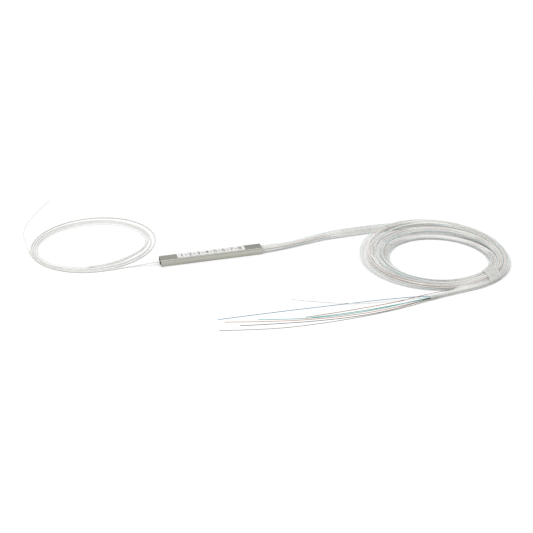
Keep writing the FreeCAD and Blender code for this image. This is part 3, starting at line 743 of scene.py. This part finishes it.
def ahead_of(points, distance):
    """The point straight ahead of a route's last run."""
    last = Vector(points[-1])
    return last + (last - Vector(points[-2])).normalized() * distance


def lead_points(index):
    """One lead, from its seat in the plug to the coil."""
    steps = len(OUTPUT_FIBRES) - 1
    slot = index - steps / 2
    row = 0.5 if index % 2 else -0.5
    points = [OUTPUT_SEAT + Vector((0, slot * BORE_PITCH, row * ROW_RISE))]
    for x, y, pitch, height, rows, rise in OUTPUT_LEADS:
        points.append(Vector((x, y + slot * pitch,
                              height + row * rows + rise * slot / steps)))
    return points


def tail_points(index):
    """One tail, past the taped stretch, to the end of its tube."""
    column, row, reach = TAIL_SLOTS[index]
    side = column - TAIL_MIDDLE
    angle = math.radians(COIL_END)
    outward = Vector((math.cos(angle), math.sin(angle), 0))
    ahead = Vector((math.sin(angle), -math.cos(angle), 0))
    radius = OUTPUT_TURNS[-1][1] + side * OUTPUT_LAYS[-1][1]
    start = Vector((*COIL_CENTRE, 0)) + outward * radius
    start.z = OUTPUT_TURNS[-1][2] + (row - 0.5) * ROW_PITCH
    points = [start + ahead * TAIL_FIRST_RUN]
    for x, y, pitch, height in OUTPUT_TAILS[:reach]:
        points.append(Vector((x, y - side * pitch, height + row * ROW_PITCH)))
    return points


def bare_points(index):
    """One bare fibre past its tube, down to the floor and along it."""
    heights, places = BARE_FIBRES[index]
    return [(*place, height) for place, height
            in itertools.zip_longest(places, heights, fillvalue=FIBRE_REST)]


def laid_tubes(angles):
    """Radius and height of every tube along the unwound coil, as it is laid."""
    radius = eased([key[:2] for key in OUTPUT_TURNS], angles)
    height = eased([key[::2] for key in OUTPUT_TURNS], angles)
    marks = np.array([-lay[0] for lay in OUTPUT_LAYS], float)
    places = np.array([np.array(lay[2]) * (lay[1], ROW_PITCH) for lay in OUTPUT_LAYS])
    low = np.clip(np.searchsorted(marks, -angles, side="right") - 1, 0, len(marks) - 2)
    share = (-angles - marks[low]) / (marks[low + 1] - marks[low])
    share = (share * share * (3 - 2 * share))[:, None, None]
    offsets = places[low] * (1 - share) + places[low + 1] * share
    return radius + offsets[..., 0].T, height + offsets[..., 1].T


@functools.cache
def wound_tubes(diameter, wander, seed):
    """Radius and height of every tube along the unwound coil, settled, and the angles."""
    angles = np.arange(COIL_START, COIL_END - 1, -COIL_STEP, dtype=float)
    radii, heights = laid_tubes(angles)
    from_tape = (angles - TAPED_ANGLE + 180) % 360 - 180
    from_ends = np.minimum(angles[0] - angles, angles - angles[-1])
    loose = ((1 - np.exp(-(from_tape / LOOSE_FROM_TAPE) ** 2))
             * np.minimum(1, from_ends / LOOSE_FROM_ENDS))
    draw = np.random.default_rng(seed)
    stray = np.zeros((2, len(OUTPUT_FIBRES), len(angles)))
    for part, pace in STRAYS:
        size = draw.normal(size=(len(OUTPUT_FIBRES), 1))
        phase = draw.uniform(0, 2 * math.pi, (len(OUTPUT_FIBRES), 1))
        stray[part] += size * np.cos(np.radians(angles) * pace + phase)
    floor = diameter / 2 + TAPE_LIFT * np.exp(-(from_tape / LIFTED_BY_TAPE) ** 2)
    radii, heights = settle_coil(radii + stray[0] * loose * wander,
                                 heights + stray[1] * loose * wander, angles, diameter, floor)
    return radii, heights, angles


def output_tubes(settings):
    """Control points of the eight output tubes, from their seats to their ends."""
    radii, heights, angles = wound_tubes(settings.tube_diameter, settings.wander,
                                         settings.seed)
    return [lead_points(index)[:-1]
            + coil_points(COIL_CENTRE, radii[index], heights[index], angles)
            + tail_points(index) for index in range(len(OUTPUT_FIBRES))]


class SPLITTER_OT_output_cords(bpy.types.Operator):
    """Make the eight coiled output tubes and the fibre in each"""

    bl_idname = "splitter.output_cords"
    bl_label = "Output Cords"

    def execute(self, context):
        settings = context.scene.splitter_cords
        for index, tube in enumerate(output_tubes(settings)):
            number = index + 1
            path = smooth_path(tube)
            add_cord(f"output_tube_{number}", tube_mesh("tube", path, settings), "white_tube",
                     (f"output_lead_{number}", "output_coil", f"output_tail_{number}"))
            path = smooth_path(tube + [ahead_of(tube, FIBRE_FIRST_RUN)] + bare_points(index))
            add_cord(f"output_fibre_{number}", fibre_mesh("fibre", path, settings),
                     f"{OUTPUT_FIBRES[index]}_fibre", (f"bare_fibre_{number}",))
        return {"FINISHED"}


# ---------------------------------------------------------------- input cord

INPUT_CENTRE = (-0.0632, 0.0358)
INPUT_LEAD = [(-0.0350, 0.0, 0.0020), (-0.0444, 0.0014, 0.00045), (-0.0500, 0.0014, 0.00045)]
# The bare fibre past the coil, along the floor.
INPUT_TAIL = [(-0.1013, 0.0435), (-0.1013, 0.0520), (-0.1022, 0.0620), (-0.1000, 0.0735),
              (-0.0950, 0.0872), (-0.0887, 0.1000), (-0.0813, 0.1117)]
# The cord along the unwound coil, in four turns and a quarter: angle in degrees and radius.
INPUT_TURNS = [
    (-85, 0.0352), (-105, 0.0354), (-128, 0.0360), (-161, 0.0362), (-185, 0.0366),
    (-205, 0.0360), (-234, 0.0372), (-262, 0.0400), (-292, 0.0415), (-316, 0.0413),
    (-340, 0.0388), (-364, 0.0368), (-388, 0.0346), (-407, 0.0335), (-420, 0.0330),
    (-440, 0.0338), (-465, 0.0346), (-490, 0.0354), (-521, 0.0352), (-545, 0.0356),
    (-575, 0.0346), (-600, 0.0345), (-625, 0.0352), (-654, 0.0359), (-685, 0.0352),
    (-707, 0.0344), (-724, 0.0351), (-748, 0.0334), (-770, 0.0314), (-797, 0.0306),
    (-820, 0.0324), (-850, 0.0345), (-905, 0.0344), (-935, 0.0326), (-960, 0.0312),
    (-985, 0.0316), (-1016, 0.0334), (-1050, 0.0338), (-1085, 0.0338), (-1110, 0.0299),
    (-1125, 0.0270), (-1140, 0.0264), (-1157, 0.0272), (-1185, 0.0304), (-1215, 0.0334),
    (-1240, 0.0336), (-1265, 0.0334), (-1300, 0.0308), (-1325, 0.0278), (-1345, 0.0272),
    (-1380, 0.0287), (-1410, 0.0308), (-1445, 0.0329), (-1470, 0.0295), (-1485, 0.0272),
    (-1500, 0.0268), (-1520, 0.0286), (-1550, 0.0326), (-1580, 0.0350), (-1600, 0.0364),
    (-1620, 0.0372),
]
INPUT_TUBE_END = -1195   # degrees at which the tube ends and the bare fibre goes on
INPUT_CLIMB = 0.0003     # how much higher each turn is laid than the one before it
INPUT_CLIMBING = 3.4     # turns after which they are laid no higher


class SPLITTER_OT_input_cord(bpy.types.Operator):
    """Make the coiled input tube and the fibre that goes on past it"""

    bl_idname = "splitter.input_cord"
    bl_label = "Input Cord"

    def execute(self, context):
        settings = context.scene.splitter_cords
        angles = np.arange(INPUT_TURNS[0][0], INPUT_TURNS[-1][0] - 1, -COIL_STEP, dtype=float)
        radius = eased(INPUT_TURNS, angles)
        thickness = np.where(angles >= INPUT_TUBE_END, settings.tube_diameter,
                             settings.fibre_diameter)
        turn = (angles[0] - angles) / 360
        height = thickness / 2 + INPUT_CLIMB * np.minimum(turn, INPUT_CLIMBING)
        height[-1] = FIBRE_REST
        radii, heights = settle_coil(radius[None], height[None], angles, thickness[None],
                                     thickness / 2)
        wound = coil_points(INPUT_CENTRE, radii[0], heights[0], angles)
        sleeved = 1 + int((angles[0] - INPUT_TUBE_END) / COIL_STEP / CONTROL_STRIDE)
        lead = [INPUT_SEAT] + INPUT_LEAD
        path = smooth_path(lead + wound[:sleeved])
        add_cord("input_tube", tube_mesh("tube", path, settings), "white_tube",
                 ("input_lead", "input_coil"))
        tail = [(*place, FIBRE_REST) for place in INPUT_TAIL]
        path = smooth_path(lead + wound + tail)
        add_cord("input_bare_fibre", fibre_mesh("fibre", path, settings), "natural_fibre",
                 ("input_tail",))
        return {"FINISHED"}


# ---------------------------------------------------------------- tape

TAPE_LOW, TAPE_HIGH = (Vector(corner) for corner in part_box("coil_tape"))
TAPE_SECTIONS = 25       # along the band
TAPE_STEPS = 112         # points round one section
TAPE_LAP = TAPE_STEPS // 6
LAP_RISE = 5             # points over which the lap climbs onto the first layer
FILM_OFFSET = 1.5        # from what it lies on to a layer's middle, in thicknesses of film
CREASES = (5, 9, 14)     # waves of the creases round the band
CREASE_SLANT = 900       # radians that the creases turn by in a metre along the band
DISC_STEPS = 24          # points round a tube where the tape's loop is drawn taut


def crossings(paths, x):
    """Where paths cross the upright plane at x under the tape, and how wide they look there."""
    found = []
    for path in paths:
        for start, end in zip(path[:-1], path[1:]):
            if (start[0] - x) * (end[0] - x) > 0 or start[0] == end[0]:
                continue
            place = start + (end - start) * (x - start[0]) / (end[0] - start[0])
            if place[1] < COIL_CENTRE[1]:
                ahead = (end - start) / np.linalg.norm(end - start)
                found.append((place[1], place[2], 1 / abs(ahead[0])))
    return found


def hull_round(discs, reach, count):
    """The taut loop round discs seen aslant, as so many even steps from its lowest point."""
    turn = np.linspace(0, 2 * math.pi, DISC_STEPS, endpoint=False)
    cloud = np.concatenate([np.stack([y + reach * wide * np.cos(turn),
                                      z + reach * np.sin(turn)], 1) for y, z, wide in discs])
    cloud = cloud[np.lexsort((cloud[:, 0], cloud[:, 1]))]
    loop = []
    for points in (cloud, cloud[::-1]):
        chain = []
        for point in points:
            while len(chain) > 1:
                back = chain[-1] - chain[-2]
                step = point - chain[-2]
                if back[0] * step[1] - back[1] * step[0] > 0:
                    break
                chain.pop()
            chain.append(point)
        loop += chain[:-1]
    loop = np.array(loop + loop[:1])
    along = np.concatenate([[0], np.linalg.norm(np.diff(loop, axis=0), axis=1).cumsum()])
    wanted = np.linspace(0, along[-1], count, endpoint=False)
    return np.stack([np.interp(wanted, along, loop[:, axis]) for axis in (0, 1)], 1)


def tape_section(discs, x, reach, settings, phases):
    """The film's middle at x: round the discs, then lapped over its own start."""
    loop = hull_round(discs, reach, TAPE_STEPS)
    wrap = np.concatenate([loop, loop[:TAPE_LAP]])
    out = wrap - loop.mean(0)
    out /= np.linalg.norm(out, axis=1)[:, None]
    step = np.arange(TAPE_STEPS + TAPE_LAP)
    lift = np.clip(step - TAPE_STEPS + LAP_RISE, 0, LAP_RISE)[:, None] / LAP_RISE
    around = step * 2 * math.pi / TAPE_STEPS
    swell = sum(np.sin(around * pace + phase + x * CREASE_SLANT)
                for pace, phase in zip(CREASES, phases))[:, None]
    wrap = wrap + out * (lift * settings.thickness * FILM_OFFSET
                         + (swell + len(CREASES)) * settings.ripple / len(CREASES))
    wrap[:, 1] = np.maximum(wrap[:, 1], settings.thickness)
    return [(x, y, z) for y, z in wrap]


class SPLITTER_OT_coil_tape(bpy.types.Operator):
    """Wrap the tape round the output coil and the roots of its tails"""

    bl_idname = "splitter.coil_tape"
    bl_label = "Coil Tape"

    def execute(self, context):
        settings = context.scene.splitter_tape
        cords = context.scene.splitter_cords
        paths = [smooth_path(tube) for tube in output_tubes(cords)]
        reach = cords.tube_diameter / 2 + settings.thickness * FILM_OFFSET
        draw = np.random.default_rng(cords.seed)
        phases = draw.uniform(0, 2 * math.pi, len(CREASES))
        vertices = []
        for x in np.linspace(TAPE_LOW.x, TAPE_HIGH.x, TAPE_SECTIONS):
            vertices += tape_section(crossings(paths, x), x, reach, settings, phases)
        width = TAPE_STEPS + TAPE_LAP
        faces = [(row + column, row + column + 1, row + width + column + 1,
                  row + width + column)
                 for row in range(0, len(vertices) - width, width)
                 for column in range(width - 1)]
        mesh = bpy.data.meshes.new("coil_tape_film")
        mesh.from_pydata(vertices, [], faces)
        mesh.polygons.foreach_set("use_smooth", [True] * len(mesh.polygons))
        carrier = bpy.data.objects.new("film", mesh)
        context.collection.objects.link(carrier)
        wall = carrier.modifiers.new("film", "SOLIDIFY")
        wall.thickness = settings.thickness
        wall.offset = 0.0
        piece = add_piece("coil_tape_band", plain_mesh(carrier), "clear_tape")
        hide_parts("coil_tape")
        return {"FINISHED"}


# ---------------------------------------------------------------- housing and label


class SPLITTER_OT_housing(bpy.types.Operator):
    """Give the housing, its plugs and the pieces inside their finishes"""

    bl_idname = "splitter.housing"
    bl_label = "Housing"

    def execute(self, context):
        recipes = finish_recipes()
        for entry in frame["record"]["subparts"]:
            node = frame["nodes"][entry["node"]]
            slot = entry["material_slot"]
            if slot in recipes:
                node.data.materials.clear()
                node.data.materials.append(finish_named(slot))
        return {"FINISHED"}


def dash_tree():
    """A node tree that lays one dash after another along X."""
    tree = bpy.data.node_groups.new("Row of dashes", "GeometryNodeTree")
    face = tree.interface
    face.new_socket("Geometry", in_out="OUTPUT", socket_type="NodeSocketGeometry")
    for name in ("Length", "Width", "Pitch"):
        face.new_socket(name, in_out="INPUT", socket_type="NodeSocketFloat")
    face.new_socket("Count", in_out="INPUT", socket_type="NodeSocketInt")
    face.new_socket("Material", in_out="INPUT", socket_type="NodeSocketMaterial")
    nodes = {key: tree.nodes.new(kind) for key, kind in {
        "in": "NodeGroupInput", "out": "NodeGroupOutput", "dash": "GeometryNodeMeshGrid",
        "step": "ShaderNodeCombineXYZ", "row": "GeometryNodeMeshLine",
        "copies": "GeometryNodeInstanceOnPoints", "real": "GeometryNodeRealizeInstances",
        "ink": "GeometryNodeSetMaterial"}.items()}
    nodes["dash"].inputs["Vertices X"].default_value = 2
    nodes["dash"].inputs["Vertices Y"].default_value = 2
    for source, output, target, entry in [
            ("in", "Length", "dash", "Size X"), ("in", "Width", "dash", "Size Y"),
            ("in", "Pitch", "step", "X"), ("in", "Count", "row", "Count"),
            ("step", "Vector", "row", "Offset"), ("row", "Mesh", "copies", "Points"),
            ("dash", "Mesh", "copies", "Instance"), ("copies", "Instances", "real", "Geometry"),
            ("real", "Geometry", "ink", "Geometry"), ("in", "Material", "ink", "Material"),
            ("ink", "Geometry", "out", "Geometry")]:
        tree.links.new(nodes[source].outputs[output], nodes[target].inputs[entry])
    return tree


PRINT_SPAN = 0.86        # from the first numeral's middle to the last's, of the label
PRINT_RISE = 0.00001     # how far the print's middle lies above the film
NUMERAL_SHARE = 0.7      # a numeral's height, of its text's size
NUMERAL_BODY = 0.0015    # how far a numeral goes up and down from its middle, of its height
DASH_LENGTH = 0.32       # of the numerals' pitch
DASH_WIDTH = 0.14        # of a numeral's height


def numeral_mesh(numeral, place, settings):
    """One numeral, lying flat with its middle at its place."""
    text = bpy.data.curves.new("numeral", "FONT")
    text.body = numeral
    text.size = 1 / NUMERAL_SHARE      # one metre high, and made small as a mesh
    text.align_x = "CENTER"
    text.align_y = "CENTER"
    text.extrude = NUMERAL_BODY
    carrier = bpy.data.objects.new("numeral", text)
    bpy.context.collection.objects.link(carrier)
    bpy.context.view_layer.update()
    mesh = plain_mesh(carrier)
    mesh.transform(Matrix.Translation(place) @ Matrix.Scale(settings.numeral_height, 4))
    return mesh


def dashes_mesh(pitch, count, place, settings):
    """A row of dashes along X, the first with its middle at its place."""
    carrier = bpy.data.objects.new("dashes", bpy.data.meshes.new("dashes"))
    bpy.context.collection.objects.link(carrier)
    row = carrier.modifiers.new("row", "NODES")
    row.node_group = dash_tree()
    values = {"Length": pitch * DASH_LENGTH, "Width": settings.numeral_height * DASH_WIDTH,
              "Pitch": pitch, "Count": count, "Material": finish_named("ink")}
    for item in row.node_group.interface.items_tree:
        if item.in_out == "INPUT":
            row[item.identifier] = values[item.name]
    mesh = plain_mesh(carrier)
    mesh.transform(Matrix.Translation(place))
    mesh.materials.clear()
    return mesh


class SPLITTER_OT_label_print(bpy.types.Operator):
    """Print the output numbers along the label, with a dash between each two"""

    bl_idname = "splitter.label_print"
    bl_label = "Label Print"

    def execute(self, context):
        settings = context.scene.splitter_housing
        count = len(OUTPUT_FIBRES)
        span = (LABEL_HIGH.x - LABEL_LOW.x) * PRINT_SPAN
        pitch = span / (count - 1)
        first = (LABEL_LOW.x + LABEL_HIGH.x - span) / 2
        level = LABEL_HIGH.z + PRINT_RISE
        for index in range(count):
            mesh = numeral_mesh(str(index + 1), (first + index * pitch, 0.0, level), settings)
            add_piece(f"numeral_{index + 1}", mesh, "white_vinyl", "ink")
        mesh = dashes_mesh(pitch, count - 1, (first + pitch / 2, 0.0, level), settings)
        add_piece("numeral_dashes", mesh, "white_vinyl", "ink")
        return {"FINISHED"}


# ---------------------------------------------------------------- stage


FLOOR_REACH = 6.0
FLOOR_WHITE = (0.96, 0.96, 0.96)
LIFT_NEAR = 0.2          # the floor's lift changes from here out
LIFT_FAR = 1.0           # to here
LAMP_PLACE = Vector((-0.1, -0.12, 0.8))
LAMP_SIZE = 0.8
VIEW_TARGET = Vector((0.0276, -0.0196, 0.0))


def seen_rays(nodes, *kinds):
    """1 for rays of these kinds, by which the stage is seen, and 0 for those that light it."""
    path = nodes.tree.nodes.new("ShaderNodeLightPath")
    rays = [Signal(nodes.tree, path.outputs[f"Is {kind} Ray"]) for kind in kinds]
    return functools.reduce(lambda one, other: one.math("MAXIMUM", one, other), rays)


def stage_floor(settings):
    """A large white floor that shows the shadows and gives little light back."""
    size = FLOOR_REACH
    mesh = bpy.data.meshes.new("floor")
    mesh.from_pydata([(-size, -size, 0), (size, -size, 0), (size, size, 0), (-size, size, 0)],
                     [], [(0, 1, 2, 3)])
    floor = bpy.data.objects.new("floor", mesh)
    bpy.context.collection.objects.link(floor)
    material = bpy.data.materials.new("floor_white")
    mesh.materials.append(material)
    nodes = Nodes(material)
    seen = seen_rays(nodes, "Camera", "Glossy", "Transmission")
    tone = nodes.node("ShaderNodeMix", {"data_type": "RGBA"},
                      {0: seen, 6: (settings.bounce,) * 3, 7: FLOOR_WHITE}, 2)
    place = nodes.node("ShaderNodeTexCoord", output="Object")
    away = nodes.node("ShaderNodeVectorMath", {"operation": "LENGTH"}, {0: place}, "Value")
    lift = nodes.node("ShaderNodeMapRange", {"interpolation_type": "SMOOTHSTEP"},
                      {"Value": away, "From Min": LIFT_NEAR, "From Max": LIFT_FAR,
                       "To Min": settings.glow, "To Max": settings.far_glow})
    matt = nodes.node("ShaderNodeBsdfDiffuse", sockets={"Color": tone})
    glow = nodes.node("ShaderNodeEmission", sockets={"Strength": seen * lift})
    nodes.end("ShaderNodeOutputMaterial",
              nodes.node("ShaderNodeAddShader", sockets={0: matt, 1: glow}))


def stage_sky(settings):
    """An even world: white where it is seen, dimmer as light and in metal."""
    world = bpy.data.worlds.new("studio")
    bpy.context.scene.world = world
    nodes = Nodes(world)
    seen = seen_rays(nodes, "Camera", "Transmission")
    nodes.end("ShaderNodeOutputWorld", nodes.node("ShaderNodeBackground", sockets={
        "Color": (1.0, 1.0, 1.0), "Strength": settings.sky + seen * (1 - settings.sky)}))


def stage_lamp(settings):
    """A square lamp of even radiance overhead, turned to what the camera looks at."""
    data = bpy.data.lights.new("overhead", "AREA")
    data.size = LAMP_SIZE
    data.energy = settings.lamp * math.pi * LAMP_SIZE * LAMP_SIZE
    lamp = bpy.data.objects.new("overhead", data)
    lamp.location = LAMP_PLACE
    lamp.rotation_euler = (VIEW_TARGET - LAMP_PLACE).to_track_quat("-Z", "Y").to_euler()
    bpy.context.collection.objects.link(lamp)


def stage_camera(settings):
    """The camera, at its distance from what it looks at."""
    data = bpy.data.cameras.new("camera")
    data.lens = settings.lens
    data.sensor_width = 36.0
    data.clip_start = 0.01
    data.clip_end = 20.0
    camera = bpy.data.objects.new("camera", data)
    flat = math.cos(settings.elevation)
    towards = Vector((-math.sin(settings.azimuth) * flat,
                      -math.cos(settings.azimuth) * flat, math.sin(settings.elevation)))
    camera.location = VIEW_TARGET + towards * settings.distance
    camera.rotation_euler = (-towards).to_track_quat("-Z", "Y").to_euler()
    bpy.context.collection.objects.link(camera)
    bpy.context.scene.camera = camera


class SPLITTER_OT_stage(bpy.types.Operator):
    """Set the floor, the light and the camera"""

    bl_idname = "splitter.stage"
    bl_label = "Stage"

    def execute(self, context):
        settings = context.scene.splitter_stage
        context.scene.view_settings.view_transform = "Standard"
        stage_floor(settings)
        stage_sky(settings)
        stage_lamp(settings)
        stage_camera(settings)
        return {"FINISHED"}


# ---------------------------------------------------------------- panel and registration

OPERATORS = (
    SPLITTER_OT_stage,
    SPLITTER_OT_housing,
    SPLITTER_OT_label_print,
    SPLITTER_OT_input_cord,
    SPLITTER_OT_output_cords,
    SPLITTER_OT_coil_tape,
)


class SPLITTER_PT_panel(bpy.types.Panel):
    """The splitter's pieces and settings"""

    bl_idname = "SPLITTER_PT_panel"
    bl_label = "Fibre Splitter"
    bl_space_type = "VIEW_3D"
    bl_region_type = "UI"
    bl_category = "Splitter"

    def draw(self, context):
        for operator in OPERATORS:
            self.layout.operator(operator.bl_idname)
        for name, group in SETTINGS.items():
            column = self.layout.box().column()
            column.label(text=group.__doc__)
            for key in group.__annotations__:
                column.prop(getattr(context.scene, name), key)


CLASSES = (*SETTINGS.values(), *OPERATORS, SPLITTER_PT_panel)


def register():
    for item in CLASSES:
        bpy.utils.register_class(item)
    for name, group in SETTINGS.items():
        setattr(bpy.types.Scene, name, PointerProperty(type=group))


def unregister():
    for name in SETTINGS:
        delattr(bpy.types.Scene, name)
    for item in reversed(CLASSES):
        bpy.utils.unregister_class(item)


def main():
    register()
    for operator in OPERATORS:
        family, name = operator.bl_idname.split(".")
        getattr(getattr(bpy.ops, family), name)()


if __name__ == "__main__":
    main()
